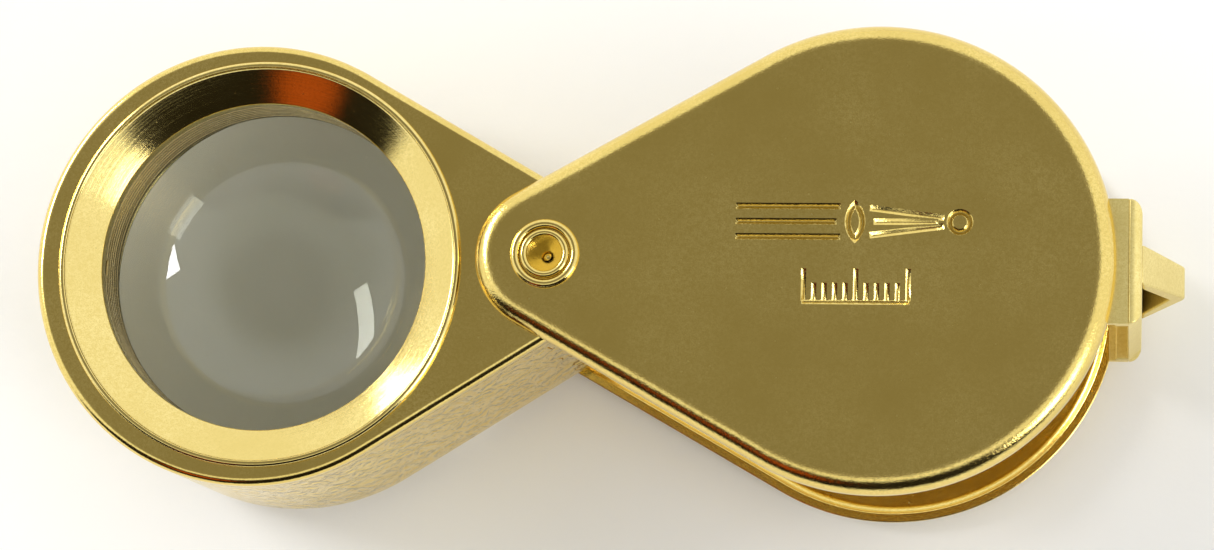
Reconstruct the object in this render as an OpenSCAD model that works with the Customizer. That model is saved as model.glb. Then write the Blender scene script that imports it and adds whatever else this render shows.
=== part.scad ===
// Folding pocket loupe with a cemented triplet lens.
// Dimensions are in millimetres. The origin is under the middle of the whole
// part, at its lowest point. X runs from the lens unit to the lanyard loop,
// Z is the thickness, and the pivot axis is parallel to Z.

/* [Case] */
// Radius of the wide end of each cover
case_r = 12.3; // [8:0.1:20]
// Radius of each cover around the pivot
case_pivot_r = 3.85; // [2.5:0.05:8]
// Pivot axis to the centre of the wide end
case_reach = 17.25; // [10:0.05:30]
// Half of the overall thickness over both covers
case_half = 8.25; // [4:0.05:12]
// Sheet thickness of the covers
cover_sheet = 0.5; // [0.3:0.05:1.2]
// Outer radius of the rounded rim
rim_round = 1.0; // [0.6:0.05:2]
// Depth of the rim below the cover's outer face
rim_depth = 1.1; // [0.8:0.05:3]

/* [Bridge and loop] */
// Width of the bridge strap
bridge_width = 6.5; // [3:0.1:12]
// Distance the bridge stands out past the covers
bridge_out = 1.3; // [1:0.05:4]
// Thickness of the bridge's outer web
bridge_web = 0.7; // [0.4:0.05:1.5]
// Edge radius of the bridge's outer corners
bridge_round = 0.55; // [0.1:0.05:0.6]
// Distance the lanyard loop stands out from the bridge
loop_out = 2.25; // [1.5:0.05:6]
// Width of the loop where it meets the bridge
loop_width = 2.1; // [1:0.05:5]
// Width of the loop at its tip
loop_tip_width = 1.7; // [0.8:0.05:5]
// Strip thickness of the loop
loop_strip = 0.85; // [0.3:0.05:1.5]

/* [Lens unit] */
// Radius of the wide end of the housing
unit_r = 11.85; // [8:0.05:20]
// Radius of the housing around the pivot
unit_pivot_r = 3.6; // [2.5:0.1:8]
// Pivot axis to the centre of the housing's wide end
unit_reach = 15.95; // [10:0.05:30]
// Half of the housing's thickness
unit_half = 6.7; // [3:0.1:10]
// Sheet thickness of the housing
unit_sheet = 0.6; // [0.3:0.05:1.2]
// Depth of the lid's turned-down edge
lid_depth = 0.9; // [0.7:0.05:2]
// Angle the unit stands past straight at rest
open_tilt = 1.3; // [-5:0.1:5]

/* [Optics] */
// Pivot axis to the lens axis
lens_reach = 15.6; // [10:0.05:30]
// Radius of the glass
lens_r = 9.0; // [5:0.1:15]
// Radius of the two outer glass surfaces
outer_curve = 21; // [12:0.5:60]
// Radius of the two cemented surfaces
inner_curve = 15; // [10:0.5:60]
// Centre thickness of the middle element
crown_centre = 6.4; // [6.1:0.1:10]
// Centre thickness of each outer element
flint_centre = 0.8; // [0.5:0.1:3]
// Radius of the bezel opening
bezel_open_r = 8.8; // [5:0.1:14]
// Outside radius of the bezel lip
bezel_r = 10.9; // [8:0.05:15]
// Height of the bezel lip above the housing face
bezel_lip = 0.3; // [0.1:0.05:1]

/* [Pivot] */
// Rivet shank radius
rivet_r = 1.2; // [0.6:0.05:3]
// Running clearance on the rivet
pivot_gap = 0.04; // [0.01:0.01:0.1]
// Outer radius of the cup washers
cup_r = 1.82; // [1.5:0.02:4]

/* [Pictogram] */
// Depth of the coined lines
mark_depth = 0.18; // [0.05:0.01:0.4]
// Width of the coined lines
mark_line = 0.26; // [0.1:0.01:0.5]

/* [Display] */
// Node to draw

/* [Hidden] */
$fn = 96;
slip = 0.015;
GOLD = [0.83, 0.68, 0.30];
BRASS = [0.76, 0.62, 0.33];
GLASS = [0.80, 0.88, 0.90];

case_end = case_reach + case_r;
rim_z = case_half - rim_depth;
flange_top = case_half - rim_round;
flange_low = flange_top - cover_sheet;
bridge_x = case_end + bridge_out;
web_x = bridge_x - bridge_web;
tip_x = bridge_x + loop_out;
unit_in = unit_half - unit_sheet;
lid_z = unit_half - lid_depth;
bezel_top = unit_half + bezel_lip;
bush_r = rivet_r + pivot_gap;
bush_half = case_half - cover_sheet - 0.4;
washer_low = bush_half + 0.02;
roll_r = 0.19;
roll_z = case_half + 0.15;
top_z = roll_z + roll_r;
left_x = -unit_reach * cos(open_tilt) - unit_r;
shift_x = -(tip_x + left_x) / 2;
flint_top = crown_centre / 2 + flint_centre;
glass_edge = flint_top - outer_curve + sqrt(pow(outer_curve, 2) - pow(lens_r, 2));
seat_z = glass_edge - 0.06;
ring_low = glass_edge + 0.1;
ring_top = bezel_top - 2.0;
bezel_low = ring_top + 0.1;

// Circles of the cover outline
CASE = [[0, 0, case_pivot_r], [case_reach, 0, case_r]];
// Circles of the housing outline
UNIT = [[0, 0, unit_pivot_r], [unit_reach, 0, unit_r]];

// Angle of the outward normal of the line from circle a to circle b
function span(a, b) = norm([b[0] - a[0], b[1] - a[1]]);
function nang(a, b) = atan2(b[1] - a[1], b[0] - a[0]) - acos((a[2] - b[2]) / span(a, b));
function after(c, i) = c[(i + 1) % len(c)];
function before(c, i) = c[(i + len(c) - 1) % len(c)];
function at(c, a, w) = [c[0] + (c[2] - w) * cos(a), c[1] + (c[2] - w) * sin(a)];
function turn(a, b) = b - a - 360 * floor((b - a) / 360);

// Section of a drawn edge: u = 0 on the outline, the sheet runs inward to -w
module edge_section(w, t, ro, top, low) {
  ri = ro - t;
  difference() {
    translate([-w, low]) square([w, top - low]);
    difference() {
      translate([-ro, top - ro]) square([ro + 1, ro + 1]);
      translate([-ro, top - ro]) circle(ro);
    }
    difference() {
      translate([-w - 1, low - 1]) square([w + 1 - t, top - t - low + 1]);
      if (ri > 0) {
        difference() {
          translate([-ro, top - ro]) square([ri + 1, ri + 1]);
          translate([-ro, top - ro]) circle(ri);
        }
      }
    }
  }
}

// Drawn cup with an outline of tangent arcs. The open side faces down.
// Each arc runs a little past its ends and each straight edge lies 15 microns
// inside the tangent, so that neighbouring pieces overlap and fuse cleanly.
module cup(cs, w, t, ro, top, low) {
  translate([0, 0, top - t]) linear_extrude(t) union() {
    for (c = cs) {
      translate([c[0], c[1]]) circle(c[2] - w + 0.05);
    }
    for (i = [0 : len(cs) - 1]) {
      a1 = nang(cs[i], after(cs, i));
      polygon([[cs[i][0], cs[i][1]], at(cs[i], a1, w - 0.02),
        at(after(cs, i), a1, w - 0.02), [after(cs, i)[0], after(cs, i)[1]]]);
    }
  }
  for (i = [0 : len(cs) - 1]) {
    c = cs[i];
    n = after(cs, i);
    a0 = nang(before(cs, i), c);
    a1 = nang(c, n);
    past = 2 * sqrt(2 * slip / c[2]) * 180 / PI;
    run = sqrt(pow(span(c, n), 2) - pow(c[2] - n[2], 2));
    s0 = sqrt(2 * slip * c[2]) / 2;
    s1 = sqrt(2 * slip * n[2]) / 2;
    translate([c[0], c[1], 0]) {
      rotate([0, 0, a0 - past]) rotate_extrude(angle = turn(a0, a1) + 2 * past)
        translate([c[2], 0]) edge_section(w, t, ro, top, low);
      rotate([0, 0, a1]) rotate([90, 0, 0])
        translate([c[2] - slip, 0, -run - s1])
        linear_extrude(run + s0 + s1) edge_section(w, t, ro, top, low);
    }
  }
}

// Moves a piece from the pivot frame to the part's frame
module place() {
  translate([shift_x, 0, top_z]) children();
}

// The same for pieces of the lens unit, drawn with the lens towards +X
module unit_place() {
  place() rotate([0, 0, 180 + open_tilt]) children();
}

module tube(ro, ri, z0, z1) {
  translate([0, 0, z0]) difference() {
    cylinder(r = ro, h = z1 - z0);
    translate([0, 0, -1]) cylinder(r = ri, h = z1 - z0 + 2);
  }
}

// One drawn cover, facing up, with its flange for the bridge
module cover_blank() {
  difference() {
    union() {
      cup(CASE, 1.5, cover_sheet, rim_round, case_half, rim_z);
      translate([case_end - 0.45, -bridge_width / 2, flange_low])
        cube([web_x - case_end + 0.45, bridge_width, cover_sheet]);
    }
    cylinder(r = rivet_r + 0.02, h = case_half + 1);
  }
}

module stroke(x0, y0, x1, y1, b) {
  translate([x0, y0, 0]) rotate([0, 0, atan2(y1 - y0, x1 - x0)])
    translate([0, -b / 2, 0]) cube([norm([x1 - x0, y1 - y0]), b, 2]);
}

module lens_symbol(r, c, h) {
  intersection() {
    translate([-c, 0, 0]) cylinder(r = r, h = h);
    translate([c, 0, 0]) cylinder(r = r, h = h);
  }
}

// Light rays through a lens, above a plain graduated scale
module pictogram() {
  translate([case_reach - 1.1, 1.8, 0]) {
    difference() {
      lens_symbol(1.5, 0.95, 2);
      translate([0, 0, -1]) lens_symbol(1.5 - mark_line, 0.95, 4);
    }
    stroke(-6.2, 0.8, -0.75, 0.8, mark_line);
    stroke(-6.2, 0, -0.95, 0, mark_line);
    stroke(-6.2, -0.8, -0.75, -0.8, mark_line);
    stroke(0.75, 0.72, 4.6, 0.22, mark_line);
    stroke(0.95, 0, 4.3, 0, mark_line);
    stroke(0.75, -0.72, 4.6, -0.22, mark_line);
    translate([5.4, 0, 0]) difference() {
      cylinder(r = 0.7, h = 2);
      translate([0, 0, -1]) cylinder(r = 0.7 - mark_line, h = 4);
    }
  }
  translate([case_reach - 1.0, -1.5, 0]) {
    stroke(-2.8, -0.9, 2.8, -0.9, 0.2);
    for (i = [-5 : 5]) {
      tall = (i % 5 == 0) ? 1.75 : 1.0;
      stroke(i * 0.54, -0.85, i * 0.54, -0.9 + tall, 0.18);
    }
  }
}

module case_front_cover() {
  color(GOLD) place() difference() {
    cover_blank();
    translate([0, 0, case_half - mark_depth]) pictogram();
  }
}

module case_rear_cover() {
  color(GOLD) place() mirror([0, 0, 1]) cover_blank();
}

// C-section strap between the two flanges
module case_bridge() {
  color(GOLD) place() intersection() {
    rotate([90, 0, 0]) translate([0, 0, -bridge_width / 2])
      linear_extrude(bridge_width) {
        difference() {
          translate([web_x, -flange_top]) square([bridge_web, 2 * flange_top]);
          for (s = [-1, 1]) {
            difference() {
              translate([bridge_x - bridge_round, s * flange_top - bridge_round])
                square(2 * bridge_round);
              translate([bridge_x - bridge_round, s * (flange_top - bridge_round)])
                circle(bridge_round);
              translate([bridge_x - 1, -flange_top + bridge_round])
                square([2, 2 * (flange_top - bridge_round)]);
            }
          }
        }
        translate([case_end - 0.1, flange_low - 0.5])
          square([web_x - case_end + 0.1, 0.5]);
        translate([case_end - 0.1, -flange_low])
          square([web_x - case_end + 0.1, 0.5]);
      }
    translate([0, 0, -case_half]) linear_extrude(2 * case_half) difference() {
      translate([case_end - 1, -bridge_width / 2 - 1])
        square([bridge_out + 1, bridge_width + 2]);
      for (s = [-1, 1]) {
        difference() {
          translate([bridge_x - 0.65, s * (bridge_width / 2) - 0.65])
            square([1.3, 1.3]);
          translate([bridge_x - 0.65, s * (bridge_width / 2 - 0.65)]) circle(0.65);
          translate([bridge_x - 2, -bridge_width / 2 + 0.65])
            square([4, bridge_width - 1.3]);
        }
      }
    }
  }
}

// Outline of the loop seen along Y: a round tip with two straight flanks
module loop_outline(root, r) {
  tip = [tip_x - 1.4, 0, r];
  low = [bridge_x, -root, 0];
  high = [bridge_x, root, 0];
  polygon([[bridge_x, -root], at(tip, nang(low, tip), 0), [tip[0], 0],
    at(tip, nang(tip, high), 0), [bridge_x, root]]);
  translate([tip[0], 0]) circle(r);
}

module lanyard_loop() {
  color(GOLD) place() intersection() {
    rotate([90, 0, 0]) translate([0, 0, -loop_width]) linear_extrude(2 * loop_width)
      difference() {
        loop_outline(6.3, 1.4);
        loop_outline(6.3 - 2 * loop_strip, 1.4 - loop_strip);
      }
    translate([0, 0, -case_half]) linear_extrude(2 * case_half)
      polygon([[bridge_x, -loop_width / 2], [tip_x, -loop_tip_width / 2],
        [tip_x, loop_tip_width / 2], [bridge_x, loop_width / 2]]);
  }
}

// Drilled rivet with both ends rolled outward
module pivot_rivet() {
  color(GOLD) place() rotate_extrude() difference() {
    union() {
      translate([0, -case_half - 0.1]) square([rivet_r, 2 * case_half + 0.2]);
      for (s = [-1, 1]) {
        translate([rivet_r - 0.09, s * roll_z]) circle(roll_r);
      }
    }
    polygon([[0, roll_z - 1.75], [0.26, roll_z - 1.6], [0.26, roll_z - 0.75],
      [0.94, roll_z], [0.94, roll_z + 1], [0, roll_z + 1]]);
    polygon([[0, -roll_z + 1.75], [0.26, -roll_z + 1.6], [0.26, -roll_z + 0.75],
      [0.94, -roll_z], [0.94, -roll_z - 1], [0, -roll_z - 1]]);
  }
}

module cup_washer() {
  rotate_extrude() {
    difference() {
      translate([cup_r - 0.24, case_half + 0.06]) circle(0.24);
      translate([0, case_half - 1]) square([3, 1]);
    }
    translate([rivet_r + 0.02, case_half]) square([cup_r - 0.24 - rivet_r, 0.04]);
  }
}

module front_cup_washer() {
  color(GOLD) place() cup_washer();
}

module rear_cup_washer() {
  color(GOLD) place() mirror([0, 0, 1]) cup_washer();
}

module front_friction_washer() {
  color(BRASS) place() tube(2.9, bush_r, washer_low, case_half - cover_sheet);
}

module rear_friction_washer() {
  color(BRASS) place() mirror([0, 0, 1])
    tube(2.9, bush_r, washer_low, case_half - cover_sheet);
}

module face_holes() {
  translate([0, 0, unit_in - 1]) cylinder(r = 2.1, h = 3);
  translate([lens_reach, 0, unit_in - 1]) cylinder(r = bezel_r - 0.33, h = 3);
}

module housing_front_lid() {
  color(GOLD) unit_place() difference() {
    cup(UNIT, 0.88, unit_sheet, 0.45, unit_half, lid_z);
    face_holes();
  }
}

module housing_rear_shell() {
  color(GOLD) unit_place() mirror([0, 0, 1]) difference() {
    cup(UNIT, 0.88, unit_sheet, 0.8, unit_half, -lid_z);
    face_holes();
  }
}

// Shouldered bush: the shoulders hold the two housing faces apart
module pivot_bush() {
  color(BRASS) unit_place() difference() {
    union() {
      translate([0, 0, -unit_in]) cylinder(r = 2.8, h = 2 * unit_in);
      translate([0, 0, -bush_half]) cylinder(r = 2.1, h = 2 * bush_half);
    }
    translate([0, 0, -bush_half - 1]) cylinder(r = bush_r, h = 2 * bush_half + 2);
  }
}

// Lens tube: seat in the middle, thread reliefs and bezel sockets at both ends
module lens_barrel() {
  color(BRASS) unit_place() translate([lens_reach, 0, 0]) difference() {
    translate([0, 0, -unit_in]) cylinder(r = bezel_r + 0.1, h = 2 * unit_in);
    translate([0, 0, -unit_in - 1]) cylinder(r = lens_r + 0.02, h = 2 * unit_in + 2);
    for (s = [0, 1]) {
      mirror([0, 0, s]) {
        translate([0, 0, seat_z]) cylinder(r = lens_r + 0.7, h = unit_in);
        translate([0, 0, bezel_low - 0.05])
          cylinder(r = bezel_r - 0.33, h = unit_in);
      }
    }
  }
}

module bezel() {
  rotate_extrude() {
    polygon([[bezel_open_r, bezel_low], [bezel_r - 0.35, bezel_low],
      [bezel_r - 0.35, unit_half], [bezel_r, unit_half], [bezel_r, bezel_top - 0.12],
      [bezel_r - 0.12, bezel_top], [bezel_r - 0.3, bezel_top],
      [bezel_r - 0.36, bezel_top - 0.1], [bezel_r - 0.42, bezel_top - 0.12],
      [bezel_open_r, bezel_top - 1.2]]);
  }
}

module front_bezel_ring() {
  color(GOLD) unit_place() translate([lens_reach, 0, 0]) bezel();
}

module rear_bezel_ring() {
  color(GOLD) unit_place() translate([lens_reach, 0, 0]) mirror([0, 0, 1]) bezel();
}

// Clamp ring with a grooved bore against stray light and two spanner slots
module retaining_ring() {
  difference() {
    tube(lens_r + 0.66, bezel_open_r + 0.05, ring_low, ring_top);
    for (k = [1 : 7]) {
      translate([0, 0, ring_low + k * 0.38])
        cylinder(r = bezel_open_r + 0.13, h = 0.16);
    }
    for (s = [-1, 1]) {
      translate([s * (lens_r + 0.3) - 0.8, -0.4, ring_top - 0.5]) cube([1.6, 0.8, 1]);
    }
  }
}

module front_retaining_ring() {
  color(BRASS) unit_place() translate([lens_reach, 0, 0]) retaining_ring();
}

module rear_retaining_ring() {
  color(BRASS) unit_place() translate([lens_reach, 0, 0])
    mirror([0, 0, 1]) retaining_ring();
}

// Meniscus: steep inner surface, flatter outer surface
module flint() {
  translate([lens_reach, 0, 0]) difference() {
    intersection() {
      cylinder(r = lens_r, h = flint_top + 1);
      translate([0, 0, flint_top - outer_curve]) sphere(outer_curve);
    }
    translate([0, 0, crown_centre / 2 - inner_curve]) sphere(inner_curve + 0.03);
  }
}

module lens_front_element() {
  color(GLASS) unit_place() flint();
}

module lens_rear_element() {
  color(GLASS) unit_place() mirror([0, 0, 1]) flint();
}

module lens_centre_element() {
  color(GLASS) unit_place() translate([lens_reach, 0, 0]) intersection() {
    cylinder(r = lens_r, h = crown_centre, center = true);
    translate([0, 0, crown_centre / 2 - inner_curve]) sphere(inner_curve);
    translate([0, 0, inner_curve - crown_centre / 2]) sphere(inner_curve);
  }
}

case_front_cover();
case_rear_cover();
case_bridge();
lanyard_loop();
pivot_rivet();
front_cup_washer();
rear_cup_washer();
front_friction_washer();
rear_friction_washer();
housing_front_lid();
housing_rear_shell();
pivot_bush();
lens_barrel();
front_bezel_ring();
rear_bezel_ring();
front_retaining_ring();
rear_retaining_ring();
lens_front_element();
lens_centre_element();
lens_rear_element();
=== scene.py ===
import math

import bmesh
import bpy
from mathutils import Matrix, Quaternion, Vector


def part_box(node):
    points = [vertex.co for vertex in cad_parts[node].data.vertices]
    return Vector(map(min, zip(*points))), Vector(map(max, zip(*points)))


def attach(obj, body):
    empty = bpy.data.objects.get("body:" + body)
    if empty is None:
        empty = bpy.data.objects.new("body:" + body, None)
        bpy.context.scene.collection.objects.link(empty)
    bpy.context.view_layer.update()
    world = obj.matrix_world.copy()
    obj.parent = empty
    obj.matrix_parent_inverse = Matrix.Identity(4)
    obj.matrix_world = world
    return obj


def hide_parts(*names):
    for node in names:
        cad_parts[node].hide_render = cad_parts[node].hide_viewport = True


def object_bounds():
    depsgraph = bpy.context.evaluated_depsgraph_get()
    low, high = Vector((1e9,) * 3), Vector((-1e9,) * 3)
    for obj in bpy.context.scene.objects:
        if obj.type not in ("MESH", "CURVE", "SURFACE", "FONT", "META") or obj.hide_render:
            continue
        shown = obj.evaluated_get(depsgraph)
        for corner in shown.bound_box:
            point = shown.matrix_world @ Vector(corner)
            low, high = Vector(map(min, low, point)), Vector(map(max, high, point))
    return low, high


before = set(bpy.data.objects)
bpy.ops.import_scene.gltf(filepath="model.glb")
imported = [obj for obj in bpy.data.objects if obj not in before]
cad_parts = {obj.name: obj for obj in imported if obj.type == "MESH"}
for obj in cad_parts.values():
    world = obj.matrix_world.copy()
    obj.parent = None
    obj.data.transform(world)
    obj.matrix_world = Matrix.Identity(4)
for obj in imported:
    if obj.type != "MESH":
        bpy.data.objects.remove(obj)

CAD_LOW, CAD_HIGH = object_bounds()
MM = 0.001

# ------------------------------------------------------------------ measures
# Places and overall sizes come from the CAD boxes. The thicknesses and edge
# radii below are the part's own, in millimetres.
COVER_SHEET, COVER_ROUND, COVER_RIM = 0.5, 1.0, 1.1
UNIT_SHEET, LID_ROUND, SHELL_ROUND = 0.6, 0.45, 0.8
BRIDGE_WEB, BRIDGE_ROUND, FLANGE_SHEET = 0.7, 0.55, 0.5
LOOP_STRIP, LOOP_TIP_R, LOOP_ROOT, LOOP_ROOT_IN = 0.85, 1.4, 6.3, 4.6
LOOP_WIDE, LOOP_NARROW = 2.1, 1.7
LENS_R, OUTER_CURVE, INNER_CURVE = 9.0, 21.0, 15.0
BEZEL_OPEN_R, THREAD_R, RING_BORE_R = 8.8, 9.66, 8.85
RIVET_R, BUSH_R, FACE_HOLE_R = 1.2, 1.24, 2.1


def middle(node):
    low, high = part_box(node)
    return (low + high) / 2


def size(node):
    low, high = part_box(node)
    return (high - low) / MM


PIVOT = middle("pivot_rivet")
LENS = middle("lens_barrel")

# the case outline: a small circle round the pivot and a large one
_low, _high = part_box("case_front_cover")
CASE_R = size("case_front_cover").y / 2
CASE_PIVOT_R = (PIVOT.x - _low.x) / MM
CASE_HALF = (_high.z - PIVOT.z) / MM
CASE_END = (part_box("case_bridge")[0].x - PIVOT.x) / MM + 0.1
CASE_REACH = CASE_END - CASE_R
BRIDGE_X = (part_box("case_bridge")[1].x - PIVOT.x) / MM
BRIDGE_WIDE = size("case_bridge").y
TIP_X = (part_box("lanyard_loop")[1].x - PIVOT.x) / MM
FLANGE_TOP = CASE_HALF - COVER_ROUND

# the housing outline, in millimetres from the pivot
_low, _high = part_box("housing_rear_shell")
UNIT_R = (_high.y - _low.y) / MM / 2
UNIT_C = Vector(((_low.x - PIVOT.x) / MM + UNIT_R, (_low.y + _high.y) / 2 / MM - PIVOT.y / MM))
UNIT_PIVOT_R = (_high.x - PIVOT.x) / MM
UNIT_HALF = (PIVOT.z - _low.z) / MM
LID_Z = (_high.z - PIVOT.z) / MM
UNIT_IN = UNIT_HALF - UNIT_SHEET
LENS_C = Vector(((LENS.x - PIVOT.x) / MM, (LENS.y - PIVOT.y) / MM))

BEZEL_R = size("front_bezel_ring").x / 2
BEZEL_TOP = (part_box("front_bezel_ring")[1].z - PIVOT.z) / MM
BEZEL_LOW = (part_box("front_bezel_ring")[0].z - PIVOT.z) / MM
RING_TOP = (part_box("front_retaining_ring")[1].z - PIVOT.z) / MM
RING_LOW = (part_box("front_retaining_ring")[0].z - PIVOT.z) / MM
FLINT_TOP = (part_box("lens_front_element")[1].z - PIVOT.z) / MM
CROWN_HALF = size("lens_centre_element").z / 2
GLASS_EDGE = FLINT_TOP - OUTER_CURVE + math.sqrt(OUTER_CURVE ** 2 - LENS_R ** 2)
ROLL_TOP = (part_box("pivot_rivet")[1].z - PIVOT.z) / MM
CUP_R = size("front_cup_washer").x / 2
WASHER_R = size("front_friction_washer").x / 2
WASHER_LOW = (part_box("front_friction_washer")[0].z - PIVOT.z) / MM
BUSH_HALF = size("pivot_bush").z / 2
BARREL_R = size("lens_barrel").x / 2

# -------------------------------------------------------------------- camera
# Tilts in degrees and distances in millimetres from the pivot at mid-plane.
TILT = (-9.16, -7.81, -1.69)
AIM = (-2.124, -0.196, -205.0)
MM_PER_PX = 0.05427
IMAGE_WIDE = 1214


def add_camera():
    turn = (Matrix.Rotation(math.radians(TILT[0]), 3, "X")
            @ Matrix.Rotation(math.radians(TILT[1]), 3, "Y")
            @ Matrix.Rotation(math.radians(TILT[2]), 3, "Z"))
    back = turn.transposed()
    data = bpy.data.cameras.new("camera")
    data.sensor_width = 36.0
    data.lens = 36.0 * (-AIM[2] / MM_PER_PX) / IMAGE_WIDE
    data.clip_start, data.clip_end = 0.01, 10
    cam = bpy.data.objects.new("camera", data)
    cam.matrix_world = Matrix.Translation(
        PIVOT - (back @ Vector(AIM)) * MM) @ back.to_4x4()
    bpy.context.scene.collection.objects.link(cam)
    bpy.context.scene.camera = cam


add_camera()


# ----------------------------------------------------------------- materials
class Nodes:
    """A short way to build a node tree."""

    def __init__(self, tree):
        self.tree = tree
        tree.nodes.clear()

    def add(self, kind, props=None, **sockets):
        n = self.tree.nodes.new(kind)
        for k, v in (props or {}).items():
            setattr(n, k, v)
        for k, v in sockets.items():
            self.put(n.inputs[k.replace("_", " ")], v)
        return n

    def put(self, socket, value):
        if isinstance(value, bpy.types.NodeSocket):
            self.tree.links.new(value, socket)
        else:
            socket.default_value = value

    def math(self, op, a, b=0.0, clamp=False):
        n = self.tree.nodes.new("ShaderNodeMath")
        n.operation, n.use_clamp = op, clamp
        self.put(n.inputs[0], a)
        self.put(n.inputs[1], b)
        return n.outputs[0]

    def ramp(self, value, stops, mode="LINEAR"):
        n = self.tree.nodes.new("ShaderNodeValToRGB")
        n.color_ramp.interpolation = mode
        while len(n.color_ramp.elements) < len(stops):
            n.color_ramp.elements.new(0.5)
        for e, (at, colour) in zip(n.color_ramp.elements, stops):
            e.position = at
            e.color = (*colour, 1)
        self.put(n.inputs[0], value)
        return n.outputs[0]

    def noise(self, vector, scale, detail=2.0, rough=0.5, distort=0.0):
        n = self.add("ShaderNodeTexNoise", Vector=vector, Scale=scale,
                     Detail=detail, Roughness=rough, Distortion=distort)
        return n.outputs["Fac"]

    def mix(self, fac, a, b):
        n = self.tree.nodes.new("ShaderNodeMix")
        n.data_type = "RGBA"
        self.put(n.inputs[0], fac)
        self.put(n.inputs[6], a if isinstance(a, bpy.types.NodeSocket) else (*a, 1))
        self.put(n.inputs[7], b if isinstance(b, bpy.types.NodeSocket) else (*b, 1))
        return n.outputs[2]

    def millimetres(self):
        """The piece's own coordinates, in millimetres."""
        at = self.add("ShaderNodeTexCoord").outputs["Object"]
        return self.add("ShaderNodeMapping", Vector=at, Scale=(1 / MM,) * 3).outputs[0]

    def surface(self, shader):
        self.put(self.add("ShaderNodeOutputMaterial").inputs[0], shader.outputs[0])

    def bump(self, height, strength, distance, normal=None):
        n = self.add("ShaderNodeBump", Height=height, Strength=strength,
                     Distance=distance)
        if normal is not None:
            self.put(n.inputs["Normal"], normal)
        return n.outputs[0]


def new_material(name):
    m = bpy.data.materials.new(name)
    m.use_nodes = True
    return m, Nodes(m.node_tree)


# Grain of the metal: features per millimetre, and bump heights in metres.
DRIFT, WAVE, PEEL, GRAIN, TURNING, CREASE = 0.16, 0.55, 5.5, 13.0, 14.0, 0.9
WAVE_HIGH, PEEL_HIGH, GRAIN_HIGH = 0.0004, 0.00002, 0.000012
TURNING_HIGH, CREASE_HIGH = 0.000015, 0.0006
PIT_CELLS, PIT_SIZE, SCRATCH_LINES, SCRATCH_CUT = 1.15, 0.055, 1.6, 0.69
WORN_DARK, WORN_LIGHT, PIT_DARK = (0.86, 0.82, 0.72), (1.05, 1.06, 1.16), 0.35
BLACK, WHITE = (0, 0, 0), (1, 1, 1)


def turned_rings(n, p, centre):
    """Fine rings round the vertical line through centre."""
    flat = n.add("ShaderNodeVectorMath", {"operation": "SUBTRACT"}).outputs[0]
    n.put(flat.node.inputs[0], p)
    flat.node.inputs[1].default_value = (centre[0] / MM, centre[1] / MM, 0)
    xyz = n.add("ShaderNodeSeparateXYZ", Vector=flat)
    radius = n.math("SQRT", n.math(
        "ADD", n.math("MULTIPLY", xyz.outputs[0], xyz.outputs[0]),
        n.math("MULTIPLY", xyz.outputs[1], xyz.outputs[1])))
    line = n.add("ShaderNodeCombineXYZ", X=radius, Y=xyz.outputs[2]).outputs[0]
    return n.noise(line, TURNING, 3, 0.7)


def drawn_wall(n, p, strength):
    """Creases of the drawing die, and their strength, nil on the flat faces."""
    streaks = n.add("ShaderNodeMapping", Vector=p, Scale=(1.3, 1.3, 0.6)).outputs[0]
    height = n.math("ABSOLUTE", n.math(
        "SUBTRACT", n.add("ShaderNodeSeparateXYZ", Vector=p).outputs[2], PIVOT.z / MM))
    below_edge = n.math("SUBTRACT", UNIT_HALF - UNIT_SHEET, height, True)
    return n.noise(streaks, CREASE, 2, 0.5, 1.8), n.math("MULTIPLY", below_edge, strength)


def metal(name, colour, rough=(0.1, 0.2), peel=0.25, wave=0.15, lathe=0.0,
          centre=None, pits=0.5, drawn=0.0):
    """Plated or bare metal: colour drift, orange peel, pits, scratches and wear.

    peel, wave, lathe, pits and drawn are the strengths of the fine grain, the
    slow waviness, turned rings round centre, tiny dark pits and draw marks."""
    m, n = new_material(name)
    p = n.millimetres()
    drift = n.noise(p, DRIFT, 4, 0.6)
    fine = n.noise(p, PEEL, 3, 0.65)
    grain = n.noise(p, GRAIN, 2, 0.6)
    slow = n.noise(p, WAVE, 2, 0.5)
    spots = n.add("ShaderNodeTexVoronoi", Vector=p, Scale=PIT_CELLS).outputs["Distance"]
    pit = n.math("LESS_THAN", spots, PIT_SIZE)
    stretched = n.add("ShaderNodeMapping", Vector=p, Scale=(0.25, 9.0, 3.0),
                      Rotation=(0.0, 0.0, 0.5)).outputs[0]
    scratch = n.math("GREATER_THAN", n.noise(stretched, SCRATCH_LINES, 1, 0.4), SCRATCH_CUT)

    dark = tuple(c * k for c, k in zip(colour, WORN_DARK))
    light = tuple(min(1.0, c * k) for c, k in zip(colour, WORN_LIGHT))
    tone = n.mix(n.ramp(drift, [(0.3, BLACK), (0.7, WHITE)]), dark, light)
    both = n.math("ADD", fine, grain)
    speckle = n.math("MULTIPLY", n.math("SUBTRACT", both, 0.8, True), 2.6)
    tone = n.mix(speckle, tone, dark)
    tone = n.mix(n.math("MULTIPLY", pit, 0.5 * pits), tone,
                 tuple(c * PIT_DARK for c in colour))
    low, high = rough
    r = n.math("MULTIPLY_ADD", drift, high - low)
    r.node.inputs[2].default_value = low
    r = n.math("ADD", r, n.math("MULTIPLY", scratch, 0.03))
    r = n.math("ADD", r, n.math("MULTIPLY", pit, 0.15), True)

    normal = n.bump(slow, wave, WAVE_HIGH)
    normal = n.bump(fine, peel, PEEL_HIGH, normal)
    normal = n.bump(grain, peel, GRAIN_HIGH, normal)
    if drawn:
        crease, strength = drawn_wall(n, p, drawn)
        normal = n.bump(crease, strength, CREASE_HIGH, normal)
    if lathe:
        normal = n.bump(turned_rings(n, p, centre), lathe, TURNING_HIGH, normal)
    n.surface(n.add("ShaderNodeBsdfPrincipled", Base_Color=tone, Roughness=r,
                    Metallic=1.0, Normal=normal))
    return m


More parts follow.
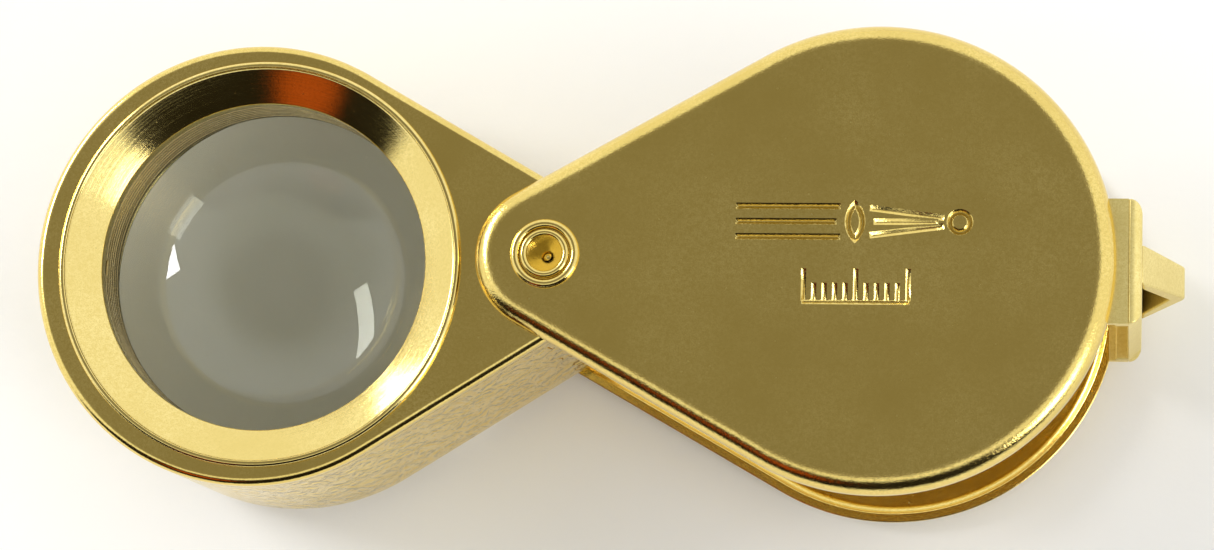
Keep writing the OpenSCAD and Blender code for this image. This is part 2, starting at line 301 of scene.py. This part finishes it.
def glass(name):
    """Polished glass with a faint coating tint, dust and wiping marks."""
    m, n = new_material(name)
    p = n.millimetres()
    smear = n.noise(p, 0.35, 4, 0.6, 1.0)
    dust = n.add("ShaderNodeTexVoronoi", Vector=p, Scale=0.9).outputs["Distance"]
    speck = n.math("LESS_THAN", dust, 0.035)
    tint = n.mix(smear, (0.95, 0.97, 0.96), (0.985, 0.985, 0.975))
    wiped = n.math("MULTIPLY", n.math("SUBTRACT", smear, 0.5, True), 0.06)
    rough = n.math("ADD", n.math("MULTIPLY", speck, 0.3), wiped)
    shader = n.add("ShaderNodeBsdfPrincipled", Base_Color=tint, Roughness=rough,
                   IOR=1.52, Transmission_Weight=1.0)
    clear = n.add("ShaderNodeBsdfTransparent")
    path = n.add("ShaderNodeLightPath")
    both = n.add("ShaderNodeMixShader")
    n.put(both.inputs[0], path.outputs["Is Shadow Ray"])
    n.put(both.inputs[1], shader.outputs[0])
    n.put(both.inputs[2], clear.outputs[0])
    n.surface(both)
    return m


def cement(name):
    """The cemented surfaces between the elements bend almost no light."""
    m, n = new_material(name)
    haze = n.noise(n.millimetres(), 0.3, 3, 0.6)
    tint = n.mix(haze, (0.97, 0.975, 0.95), (0.99, 0.99, 0.98))
    n.surface(n.add("ShaderNodeBsdfTransparent", Color=tint))
    return m


GOLD = (0.90, 0.71, 0.235)
cover_gold = metal("cover_gold", GOLD, (0.10, 0.19), peel=0.6, wave=0.05, pits=0.7)
housing_gold = metal("housing_gold", GOLD, (0.09, 0.17), peel=0.22, wave=0.06,
                     pits=0.5, drawn=0.55)
bezel_gold = metal("bezel_gold", (0.93, 0.76, 0.29), (0.07, 0.14), peel=0.12, wave=0.02,
                   lathe=0.35, centre=LENS, pits=0.3)
small_gold = metal("small_gold", (0.92, 0.74, 0.26), (0.08, 0.16), peel=0.2, wave=0.05,
                   lathe=0.15, centre=PIVOT, pits=0.3)
strap_gold = metal("strap_gold", (0.94, 0.80, 0.33), (0.40, 0.50), peel=0.25, wave=0.08,
                   pits=0.4)
turned_brass = metal("turned_brass", (0.62, 0.52, 0.27), (0.18, 0.32), peel=0.2,
                     wave=0.02, lathe=0.5, centre=LENS, pits=0.2)
lens_glass = glass("lens_glass")
lens_cement = cement("lens_cement")


# ------------------------------------------------------------- mesh building
SHARP, LEVEL, WELD = math.radians(32), 0.99999, 1e-5
TURN_STEPS, FINE_STEPS, GLASS_STEPS, SMALL_STEPS, INNER_STEPS = 256, 320, 192, 160, 128


def weight_normals(obj):
    mod = obj.modifiers.new("weighted", "WEIGHTED_NORMAL")
    mod.keep_sharp, mod.weight = True, 90


def to_object(name, bm):
    """Turns the bmesh, in millimetres from the pivot, into an object."""
    bmesh.ops.recalc_face_normals(bm, faces=bm.faces)
    for v in bm.verts:
        v.co = v.co * MM + PIVOT
    mesh = bpy.data.meshes.new(name)
    bm.to_mesh(mesh)
    bm.free()
    obj = bpy.data.objects.new(name, mesh)
    bpy.context.scene.collection.objects.link(obj)
    return obj


def smooth_but_flats(mesh):
    """Smooth shading with sharp edges, but level faces keep their own normal."""
    mesh.shade_smooth()
    mesh.set_sharp_from_angle(angle=SHARP)
    for face in mesh.polygons:
        if abs(face.normal.z) > LEVEL:
            face.use_smooth = False


def finish_piece(name, bm, materials, body, nodes, weighted=True):
    """Turns the bmesh into a piece that stands for the nodes."""
    bmesh.ops.remove_doubles(bm, verts=bm.verts, dist=WELD)
    obj = to_object(name, bm)
    for m in materials:
        obj.data.materials.append(m)
    smooth_but_flats(obj.data)
    if weighted:
        weight_normals(obj)
    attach(obj, body)
    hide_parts(*nodes)
    return obj


def rounded(points, radius, steps=4):
    """The closed polygon with its corners rounded off."""
    out = []
    for i, p in enumerate(points):
        a, p, b = (Vector(points[i - 1]), Vector(p),
                   Vector(points[(i + 1) % len(points)]))
        if p.x < 1e-6:
            out.append(tuple(p))
            continue
        cut = min(radius, (a - p).length * 0.4, (b - p).length * 0.4)
        s, e = p + (a - p).normalized() * cut, p + (b - p).normalized() * cut
        for k in range(steps + 1):
            t = k / steps
            out.append(tuple((1 - t) ** 2 * s + 2 * t * (1 - t) * p + t * t * e))
    return out


def arc(cx, cy, r, a0, a1, steps):
    """Points round (cx, cy) from angle a0 to a1, in degrees."""
    return [(cx + r * math.cos(math.radians(a0 + (a1 - a0) * k / steps)),
             cy + r * math.sin(math.radians(a0 + (a1 - a0) * k / steps)))
            for k in range(steps + 1)]


def lathe_mesh(profile, centre, segments=TURN_STEPS, mat=None):
    """Spins the closed (radius, z) profile round the vertical line at centre."""
    bm = bmesh.new()
    rings = []
    for r, z in profile:
        if r < 1e-6:
            rings.append([bm.verts.new((centre[0], centre[1], z))])
        else:
            rings.append([bm.verts.new((
                centre[0] + r * math.cos(2 * math.pi * k / segments),
                centre[1] + r * math.sin(2 * math.pi * k / segments), z))
                for k in range(segments)])
    for i, a in enumerate(rings):
        b = rings[(i + 1) % len(rings)]
        if len(a) == 1 and len(b) == 1:
            continue
        for k in range(segments):
            quad = [a[k % len(a)], a[(k + 1) % len(a)],
                    b[(k + 1) % len(b)], b[k % len(b)]]
            face = bm.faces.new(list(dict.fromkeys(quad)))
            if mat:
                face.material_index = mat[i]
    return bm


def mirror_z(points):
    return [(r, -z) for r, z in reversed(points)]


def teardrop(centre_a, ra, centre_b, rb, per_turn=360, straight=40):
    """Points with outward normals round two circles and their tangents."""
    a, b = Vector(centre_a), Vector(centre_b)
    base = math.atan2(b.y - a.y, b.x - a.x)
    lean = math.acos((ra - rb) / (b - a).length)
    out = []

    def sweep(c, r, start, stop):
        steps = max(8, round(per_turn * abs(stop - start) / (2 * math.pi)))
        for k in range(steps + 1):
            t = start + (stop - start) * k / steps
            n = Vector((math.cos(t), math.sin(t)))
            out.append((c + n * r, n))

    def join(p, q, n):
        for k in range(1, straight):
            out.append((p.lerp(q, k / straight), n))

    sweep(b, rb, base - lean, base + lean)
    up = Vector((math.cos(base + lean), math.sin(base + lean)))
    join(b + up * rb, a + up * ra, up)
    sweep(a, ra, base + lean, base + 2 * math.pi - lean)
    down = Vector((math.cos(base - lean), math.sin(base - lean)))
    join(a + down * ra, b + down * rb, down)
    return out


def cup_profile(sheet, outer, top, low, guard=0.35, steps=14):
    """Section of a drawn edge as (offset inward, z), outside first."""
    edge = 0.05
    pts = [(outer + guard, top), (outer + 0.04, top)]
    pts += [(outer - outer * math.sin(f), top - outer + outer * math.cos(f))
            for f in (math.pi / 2 * k / steps for k in range(steps + 1))]
    pts += [(0.0, low + edge * 1.5), (edge * 0.3, low + edge * 0.4), (edge, low),
            (sheet - edge, low), (sheet - edge * 0.3, low + edge * 0.4),
            (sheet, low + edge * 1.5)]
    inner = outer - sheet
    if inner > 0:
        pts += [(outer - inner * math.sin(f), top - outer + inner * math.cos(f))
                for f in (math.pi / 2 * (1 - k / steps) for k in range(steps + 1))]
        pts += [(outer + 0.04, top - sheet)]
    else:
        pts += [(sheet, top - sheet)]
    pts += [(outer + guard, top - sheet)]
    return pts


def cup(outline, profile, holes, flip=False):
    """A drawn cup: the profile swept round the outline, its two faces filled
    in flat, and round holes (x, y, radius) through both."""
    bm = bmesh.new()
    sign = -1 if flip else 1
    loops = [[bm.verts.new((p.x - n.x * u, p.y - n.y * u, sign * z))
              for p, n in outline] for u, z in profile]
    for a, b in zip(loops, loops[1:]):
        for k in range(len(a)):
            m = (k + 1) % len(a)
            bm.faces.new((a[k], a[m], b[m], b[k]))
    walls = []
    for loop, z in ((loops[0], profile[0][1]), (loops[-1], profile[-1][1])):
        rims = [list(loop)]
        for x, y, r in holes:
            steps = 192 if r > 5 else 72
            rims.append([bm.verts.new((x + r * math.cos(2 * math.pi * k / steps),
                                       y + r * math.sin(2 * math.pi * k / steps),
                                       sign * z)) for k in range(steps)])
        edges = []
        for rim in rims:
            for k in range(len(rim)):
                pair = (rim[k - 1], rim[k])
                edges.append(bm.edges.get(pair) or bm.edges.new(pair))
        bmesh.ops.triangle_fill(bm, use_beauty=True, use_dissolve=False, edges=edges)
        walls.append(rims[1:])
    for top, low in zip(*walls):
        for k in range(len(top)):
            bm.faces.new((top[k - 1], top[k], low[k], low[k - 1]))
    return bm


def boolean(obj, cutter):
    """Cuts cutter out of obj for good."""
    mod = obj.modifiers.new("cut", "BOOLEAN")
    mod.operation, mod.solver, mod.object = "DIFFERENCE", "EXACT", cutter
    mod.use_self = True
    bpy.context.view_layer.update()
    made = bpy.data.meshes.new_from_object(
        obj.evaluated_get(bpy.context.evaluated_depsgraph_get()))
    obj.modifiers.clear()
    old = obj.data
    obj.data = made
    bpy.data.meshes.remove(old)
    bpy.data.objects.remove(cutter)
    smooth_but_flats(obj.data)
    weight_normals(obj)


# ------------------------------------------------------------------- covers
case_outline = teardrop((0, 0), CASE_PIVOT_R, (CASE_REACH, 0), CASE_R)
cover_section = cup_profile(COVER_SHEET, COVER_ROUND, CASE_HALF, CASE_HALF - COVER_RIM)
rivet_hole = [(0.0, 0.0, RIVET_R + 0.02)]

MARK_TOP, MARK_FLOOR, MARK_LINE, TICK_LINE = CASE_HALF + 0.05, CASE_HALF - 0.13, 0.36, 0.28


def groove(bm, x0, y0, x1, y1, b):
    """A cutter for a straight coined line with sloping sides."""
    a, c = Vector((x0, y0)), Vector((x1, y1))
    d = (c - a).normalized()
    s = Vector((-d.y, d.x))
    layers = []
    for z, half, extra in ((MARK_TOP, b * 0.62, b * 0.12), (MARK_FLOOR, b * 0.06, -b * 0.4)):
        layers.append([bm.verts.new((*(q + d * e + s * h), z)) for q, e, h in (
            (a, -extra, -half), (c, extra, -half), (c, extra, half), (a, -extra, half))])
    top, low = layers
    bm.faces.new(top)
    bm.faces.new(low[::-1])
    for k in range(4):
        bm.faces.new((top[k - 1], low[k - 1], low[k], top[k]))


def groove_loop(bm, loop_at, line):
    """The same along a closed line. loop_at(inset) gives its points."""
    rows = []
    for inset, z in ((-0.12 * line, MARK_TOP), (1.12 * line, MARK_TOP),
                     (0.56 * line, MARK_FLOOR), (0.44 * line, MARK_FLOOR)):
        rows.append([bm.verts.new((x, y, z)) for x, y in loop_at(inset)])
    for i in range(4):
        a, b = rows[i - 1], rows[i]
        for k in range(len(a)):
            bm.faces.new((a[k - 1], a[k], b[k], b[k - 1]))


def lens_symbol(x, y, r, c):
    def loop_at(inset):
        q = r - inset
        half = math.degrees(math.acos(c / q))
        right = arc(x - c, y, q, -half, half, 24)
        left = arc(x + c, y, q, 180 - half, 180 + half, 24)
        return right[:-1] + left[:-1]
    return loop_at


# The ray diagram: rays in, a lens, rays drawn together and a small ring.
SYMBOL_R, SYMBOL_SET_IN = 1.5, 0.95
RAYS = ((-6.2, 0.8, -0.75, 0.8), (-6.2, 0, -0.95, 0), (-6.2, -0.8, -0.75, -0.8),
        (0.75, 0.72, 4.6, 0.22), (0.95, 0, 4.3, 0), (0.75, -0.72, 4.6, -0.22))
RING_AT, RING_R = 5.4, 0.7
# The tick scale below it.
SCALE_HALF, SCALE_BASE, TICKS_EACH_SIDE, TICK_STEP = 2.8, -0.9, 5, 0.54
TICK_TALL, TICK_SHORT, TICK_START = 1.75, 1.0, 0.03


def build_pictogram():
    bm = bmesh.new()
    x, y = CASE_REACH - 1.1, 1.8
    groove_loop(bm, lens_symbol(x, y, SYMBOL_R, SYMBOL_SET_IN), MARK_LINE)
    for x0, y0, x1, y1 in RAYS:
        groove(bm, x + x0, y + y0, x + x1, y + y1, MARK_LINE)
    groove_loop(bm, lambda inset: arc(x + RING_AT, y, RING_R - inset, 0, 360, 48)[:-1],
                MARK_LINE)
    x, base = CASE_REACH - 1.0, -1.5 + SCALE_BASE
    groove(bm, x - SCALE_HALF, base, x + SCALE_HALF, base, TICK_LINE)
    for i in range(-TICKS_EACH_SIDE, TICKS_EACH_SIDE + 1):
        tall = TICK_SHORT if i % TICKS_EACH_SIDE else TICK_TALL
        at = x + i * TICK_STEP
        groove(bm, at, base + TICK_START, at, base + tall, TICK_LINE)
    return to_object("cutter", bm)


def add_flange(bm, sign):
    """The tongue of the cover that the bridge is fixed to."""
    top, low = FLANGE_TOP, FLANGE_TOP - FLANGE_SHEET
    x0, x1, w = CASE_END - COVER_SHEET + 0.05, BRIDGE_X - BRIDGE_WEB, BRIDGE_WIDE / 2
    rows = [[bm.verts.new((x, y, sign * z)) for y in (-w, w)]
            for x, z in ((x0, top), (x1, top), (x1, low), (x0, low))]
    made = [bm.faces.new([r[side] for r in rows]) for side in (0, 1)]
    for i in range(4):
        a, b = rows[i - 1], rows[i]
        made.append(bm.faces.new((a[0], a[1], b[1], b[0])))
    for face in made:
        face.material_index = 1


front_bm = cup(case_outline, cover_section, rivet_hole)
add_flange(front_bm, 1)
front_cover = finish_piece("front_cover_plated", front_bm, [cover_gold, strap_gold], "case",
                           ["case_front_cover"])
boolean(front_cover, build_pictogram())

rear_bm = cup(case_outline, cover_section, rivet_hole, flip=True)
add_flange(rear_bm, -1)
finish_piece("rear_cover_plated", rear_bm, [cover_gold, strap_gold], "case",
             ["case_rear_cover"])


# ---------------------------------------------------------- bridge and loop
def prism(profile, half_at):
    """Extrudes the closed (x, z) profile along Y to half_at(x) each side."""
    bm = bmesh.new()
    rows = [[bm.verts.new((x, s * half_at(x), z)) for x, z in profile] for s in (-1, 1)]
    for k in range(len(profile)):
        bm.faces.new((rows[0][k - 1], rows[0][k], rows[1][k], rows[1][k - 1]))
    for row in rows:
        edges = [bm.edges.get((row[k - 1], row[k])) for k in range(len(row))]
        bmesh.ops.triangle_fill(bm, use_beauty=True, use_dissolve=False, edges=edges)
    return bm


def add_bevel(obj, width, segments=3):
    mod = obj.modifiers.new("edges", "BEVEL")
    mod.width, mod.segments, mod.limit_method = width * MM, segments, "ANGLE"
    mod.angle_limit = SHARP
    obj.modifiers.move(len(obj.modifiers) - 1, 0)


def bridge_profile():
    web_x, back = BRIDGE_X - BRIDGE_WEB, CASE_END - 0.1
    low = FLANGE_TOP - FLANGE_SHEET
    upper = arc(BRIDGE_X - BRIDGE_ROUND, FLANGE_TOP - BRIDGE_ROUND, BRIDGE_ROUND, 0, 90, 10)
    pts = [(BRIDGE_X, -FLANGE_TOP + BRIDGE_ROUND)] + upper
    pts += [(web_x, FLANGE_TOP), (web_x, low), (back, low), (back, low - 0.5),
            (web_x, low - 0.5), (web_x, 0.5 - low), (back, 0.5 - low), (back, -low),
            (web_x, -low), (web_x, -FLANGE_TOP)]
    pts += [(x, -z) for x, z in reversed(upper)][:-1]
    return pts


def bridge_half(x):
    corner, half = 0.65, BRIDGE_WIDE / 2
    past = max(0.0, x - (BRIDGE_X - corner))
    return half - corner + math.sqrt(max(0.0, corner ** 2 - past ** 2))


bridge = finish_piece("bridge_strap", prism(bridge_profile(), bridge_half), [strap_gold],
                      "case", ["case_bridge"])
add_bevel(bridge, 0.08)


def loop_outline(root, r):
    """The half round the tip and the two straight flanks, seen along Y."""
    cx = TIP_X - LOOP_TIP_R
    reach = math.hypot(cx - BRIDGE_X, root)
    flank = math.degrees(math.atan2(root, BRIDGE_X - cx))
    touch = flank - math.degrees(math.acos(r / reach))
    return [(BRIDGE_X, -root)] + arc(cx, 0, r, -touch, touch, 40) + [(BRIDGE_X, root)]


def loop_half(x):
    t = (x - BRIDGE_X) / (TIP_X - BRIDGE_X)
    return (LOOP_WIDE + (LOOP_NARROW - LOOP_WIDE) * t) / 2


loop_section = (loop_outline(LOOP_ROOT, LOOP_TIP_R)
                + loop_outline(LOOP_ROOT_IN, LOOP_TIP_R - LOOP_STRIP)[::-1])
loop = finish_piece("loop_strip", prism(loop_section, loop_half), [strap_gold],
                    "case", ["lanyard_loop"])
add_bevel(loop, 0.12)

# -------------------------------------------------------------------- pivot
ROLL_R, ROLL_SET_IN, DRILL_R, CONE_R = 0.19, 0.09, 0.26, 0.93
ROLL_Z = ROLL_TOP - ROLL_R
roll = ([(0, ROLL_Z - 1.75), (DRILL_R, ROLL_Z - 1.6), (DRILL_R, ROLL_Z - 0.75),
         (CONE_R, ROLL_Z)]
        + arc(RIVET_R - ROLL_SET_IN, ROLL_Z, ROLL_R, 160, -60, 28)
        + [(RIVET_R, ROLL_Z - 0.18)])
finish_piece("rivet_rolled", lathe_mesh(roll + mirror_z(roll), (0, 0), SMALL_STEPS), [small_gold],
             "case", ["pivot_rivet"])

SLACK, BEAD_R = 0.02, 0.24
cup_section = ([(RIVET_R + SLACK, CASE_HALF), (CUP_R - 0.01, CASE_HALF)]
               + arc(CUP_R - BEAD_R, CASE_HALF + 0.06, BEAD_R, -10, 184, 30)
               + [(RIVET_R + SLACK, CASE_HALF + 0.04)])
disc_section = rounded([(BUSH_R, WASHER_LOW), (WASHER_R, WASHER_LOW),
                        (WASHER_R, CASE_HALF - COVER_SHEET),
                        (BUSH_R, CASE_HALF - COVER_SHEET)], 0.05)
for side, flip in (("front", False), ("rear", True)):
    section = mirror_z(cup_section) if flip else cup_section
    finish_piece(side + "_cup", lathe_mesh(section, (0, 0), SMALL_STEPS), [small_gold], "case",
                 [side + "_cup_washer"])
    section = mirror_z(disc_section) if flip else disc_section
    finish_piece(side + "_friction_disc", lathe_mesh(section, (0, 0), INNER_STEPS), [turned_brass],
                 "case", [side + "_friction_washer"])

# ------------------------------------------------------------------ housing
unit_outline = teardrop((0, 0), UNIT_PIVOT_R, UNIT_C, UNIT_R)
face_holes = [(0.0, 0.0, FACE_HOLE_R), (LENS_C.x, LENS_C.y, BEZEL_R - 0.33)]
lid = cup(unit_outline, cup_profile(UNIT_SHEET, LID_ROUND, UNIT_HALF, LID_Z, 0.2),
          face_holes)
finish_piece("housing_lid", lid, [housing_gold], "lens_unit",
             ["housing_front_lid"])
shell = cup(unit_outline, cup_profile(UNIT_SHEET, SHELL_ROUND, UNIT_HALF, -LID_Z, 0.08),
            face_holes, flip=True)
finish_piece("housing_shell", shell, [housing_gold], "lens_unit",
             ["housing_rear_shell"])

bush = rounded([(BUSH_R, -BUSH_HALF), (FACE_HOLE_R, -BUSH_HALF), (FACE_HOLE_R, -UNIT_IN),
                (2.8, -UNIT_IN), (2.8, UNIT_IN), (FACE_HOLE_R, UNIT_IN),
                (FACE_HOLE_R, BUSH_HALF), (BUSH_R, BUSH_HALF)], 0.08)
finish_piece("bush_turned", lathe_mesh(bush, (0, 0), INNER_STEPS), [turned_brass], "lens_unit",
             ["pivot_bush"])

# ------------------------------------------------------------------- optics
SEAT_Z, SOCKET_Z = GLASS_EDGE - 0.06, BEZEL_LOW - 0.05
half_barrel = [(LENS_R + 0.02, 0.0), (LENS_R + 0.02, SEAT_Z), (LENS_R + 0.7, SEAT_Z),
               (LENS_R + 0.7, SOCKET_Z), (BEZEL_R - 0.33, SOCKET_Z),
               (BEZEL_R - 0.33, UNIT_IN), (BARREL_R, UNIT_IN)]
barrel = mirror_z(half_barrel)[:-1] + half_barrel
finish_piece("barrel_turned", lathe_mesh(barrel, LENS_C), [turned_brass], "lens_unit",
             ["lens_barrel"])

bezel = rounded([(BEZEL_OPEN_R, BEZEL_LOW), (BEZEL_R - 0.35, BEZEL_LOW),
                 (BEZEL_R - 0.35, UNIT_HALF), (BEZEL_R, UNIT_HALF),
                 (BEZEL_R, BEZEL_TOP - 0.12), (BEZEL_R - 0.12, BEZEL_TOP),
                 (BEZEL_R - 0.3, BEZEL_TOP), (BEZEL_R - 0.36, BEZEL_TOP - 0.1),
                 (BEZEL_R - 0.42, BEZEL_TOP - 0.12),
                 (BEZEL_OPEN_R, BEZEL_TOP - 1.2)], 0.07, 5)

GROOVES, GROOVE_STEP, GROOVE_WIDE, GROOVE_DEEP = 7, 0.38, 0.16, 0.08
ring = [(RING_BORE_R, RING_LOW)]
ring += [(THREAD_R, RING_LOW), (THREAD_R, RING_TOP), (RING_BORE_R, RING_TOP)]
for k in range(GROOVES, 0, -1):
    z = RING_LOW + k * GROOVE_STEP
    ring += [(RING_BORE_R, z + GROOVE_WIDE), (RING_BORE_R + GROOVE_DEEP, z + GROOVE_WIDE),
             (RING_BORE_R + GROOVE_DEEP, z), (RING_BORE_R, z)]
ring = rounded(ring, 0.03, 2)

CROWN_EDGE = CROWN_HALF - INNER_CURVE + math.sqrt(INNER_CURVE ** 2 - LENS_R ** 2)
CEMENT = 0.03


def cap(radius, top, edge_r, steps=40):
    """A spherical surface of that radius, from the axis out to edge_r."""
    low = math.degrees(math.acos(edge_r / radius))
    pts = arc(0, top - radius, radius, 90, low, steps)
    return [(0.0, top)] + pts[1:]


outer = cap(OUTER_CURVE, FLINT_TOP, LENS_R)
inner = cap(INNER_CURVE + CEMENT, CROWN_HALF + CEMENT, LENS_R)
flint = outer + inner[::-1]
flint_marks = [0] * (len(outer) - 1) + [1] * (len(inner) + 1)
crown_top = cap(INNER_CURVE, CROWN_HALF, LENS_R)
crown = crown_top + mirror_z(crown_top)

def spanner_slots(flip):
    """Two square cuts across the outer end of a clamp ring."""
    bm = bmesh.new()
    side = -1 if flip else 1
    for s in (-1, 1):
        corners = [[(LENS_C.x + s * (LENS_R + 0.3) + a, LENS_C.y + b, c)
                    for a, b in ((-SLOT_LONG, -SLOT_WIDE), (SLOT_LONG, -SLOT_WIDE),
                                 (SLOT_LONG, SLOT_WIDE), (-SLOT_LONG, SLOT_WIDE))]
                   for c in ((RING_TOP - SLOT_DEEP) * side, (RING_TOP + SLOT_DEEP) * side)]
        low, top = [[bm.verts.new(v) for v in row] for row in corners]
        bm.faces.new(low)
        bm.faces.new(top)
        for k in range(4):
            bm.faces.new((low[k - 1], low[k], top[k], top[k - 1]))
    return to_object("cutter", bm)


SLOT_LONG, SLOT_WIDE, SLOT_DEEP = 0.8, 0.4, 0.5
for side, flip in (("front", False), ("rear", True)):
    section = mirror_z(bezel) if flip else bezel
    finish_piece(side + "_bezel", lathe_mesh(section, LENS_C, FINE_STEPS), [bezel_gold],
                 "lens_unit", [side + "_bezel_ring"])
    section = mirror_z(ring) if flip else ring
    piece = finish_piece(side + "_clamp_ring", lathe_mesh(section, LENS_C),
                         [turned_brass], "lens_unit", [side + "_retaining_ring"])
    boolean(piece, spanner_slots(flip))
    bm = lathe_mesh(flint, LENS_C, GLASS_STEPS, flint_marks)
    if flip:
        for v in bm.verts:
            v.co.z = -v.co.z
    finish_piece(side + "_element", bm, [lens_glass, lens_cement], "lens_unit",
                 ["lens_" + side + "_element"], weighted=False)
finish_piece("centre_element", lathe_mesh(crown, LENS_C, GLASS_STEPS), [lens_cement],
             "lens_unit", ["lens_centre_element"], weighted=False)


# ---------------------------------------------------------- floor and light
FLOOR_R = 0.3
WALL_LIGHT, CEILING_LIGHT = (1.08, 1.09, 1.07), (0.29, 0.275, 0.225)
VIEWER_DARK, VIEWER_WARM = (0.016, 0.014, 0.010), (0.42, 0.085, 0.015)


def add_floor():
    m, n = new_material("floor")
    at = n.add("ShaderNodeTexCoord").outputs["Object"]
    tone = n.mix(n.noise(at, 30.0, 4, 0.6), (0.94, 0.94, 0.94), (0.97, 0.97, 0.97))
    shader = n.add("ShaderNodeBsdfPrincipled", Base_Color=tone, Roughness=0.75,
                   Normal=n.bump(n.noise(at, 900.0, 3, 0.6), 0.1, 0.0002))
    shader.inputs["Specular IOR Level"].default_value = 0.2
    n.surface(shader)
    bm = bmesh.new()
    bmesh.ops.create_circle(bm, cap_ends=True, segments=96, radius=FLOOR_R)
    mesh = bpy.data.meshes.new("floor")
    bm.to_mesh(mesh)
    bm.free()
    mesh.materials.append(m)
    floor = bpy.data.objects.new("floor", mesh)
    floor.location.z = CAD_LOW.z
    bpy.context.scene.collection.objects.link(floor)


def add_lamp(name, direction, distance, wide, tall, radiance, roll=0.0):
    """A soft rectangular lamp that faces the part, rolled by that many degrees."""
    data = bpy.data.lights.new(name, "AREA")
    data.shape, data.size, data.size_y = "RECTANGLE", wide, tall
    data.energy = radiance * math.pi * wide * tall
    lamp = bpy.data.objects.new(name, data)
    toward = Vector(direction).normalized()
    lamp.location = (CAD_LOW + CAD_HIGH) / 2 + toward * distance
    lamp.rotation_mode = "QUATERNION"
    lamp.rotation_quaternion = (toward.to_track_quat("Z", "Y")
                                @ Quaternion((0, 0, 1), math.radians(roll)))
    bpy.context.scene.collection.objects.link(lamp)


def add_world():
    """Bright walls, a dimmer ceiling, and a dark side with a warm spot in it."""
    world = bpy.data.worlds.new("studio")
    bpy.context.scene.world = world
    world.use_nodes = True
    n = Nodes(world.node_tree)
    toward = n.add("ShaderNodeTexCoord").outputs["Generated"]

    def along(axis):
        dot = n.add("ShaderNodeVectorMath", {"operation": "DOT_PRODUCT"})
        n.put(dot.inputs[0], toward)
        dot.inputs[1].default_value = Vector(axis).normalized()
        return dot.outputs["Value"]

    sky = n.ramp(along((-0.10, 0.16, 0.98)),
                 [(0.0, WALL_LIGHT), (0.83, WALL_LIGHT), (0.955, CEILING_LIGHT)], "EASE")
    uneven = n.noise(toward, 3.0, 3, 0.6)
    viewer = n.math("ADD", along((-0.084, -0.996, 0.0)), n.math("MULTIPLY", uneven, 0.10))
    height = n.add("ShaderNodeSeparateXYZ", Vector=toward).outputs[2]
    dark = n.math("MULTIPLY", n.ramp(viewer, [(0.49, BLACK), (0.55, WHITE)]),
                  n.ramp(height, [(0.72, WHITE), (0.84, BLACK)]))
    shaded = n.mix(dark, sky, VIEWER_DARK)
    patch = n.ramp(along((-0.43, -0.75, 0.49)), [(0.978, BLACK), (0.992, WHITE)])
    warm = n.mix(patch, shaded, VIEWER_WARM)
    back = n.add("ShaderNodeBackground", Color=warm, Strength=1.0)
    n.put(n.add("ShaderNodeOutputWorld").inputs[0], back.outputs[0])


add_floor()
add_world()
add_lamp("window", (-0.80, 0.40, 0.50), 0.45, 0.30, 0.07, 18.0, 45.0)
add_lamp("side", (0.75, -0.48, 0.45), 0.45, 0.18, 0.18, 6.0)
bpy.context.scene.view_settings.view_transform = "Standard"
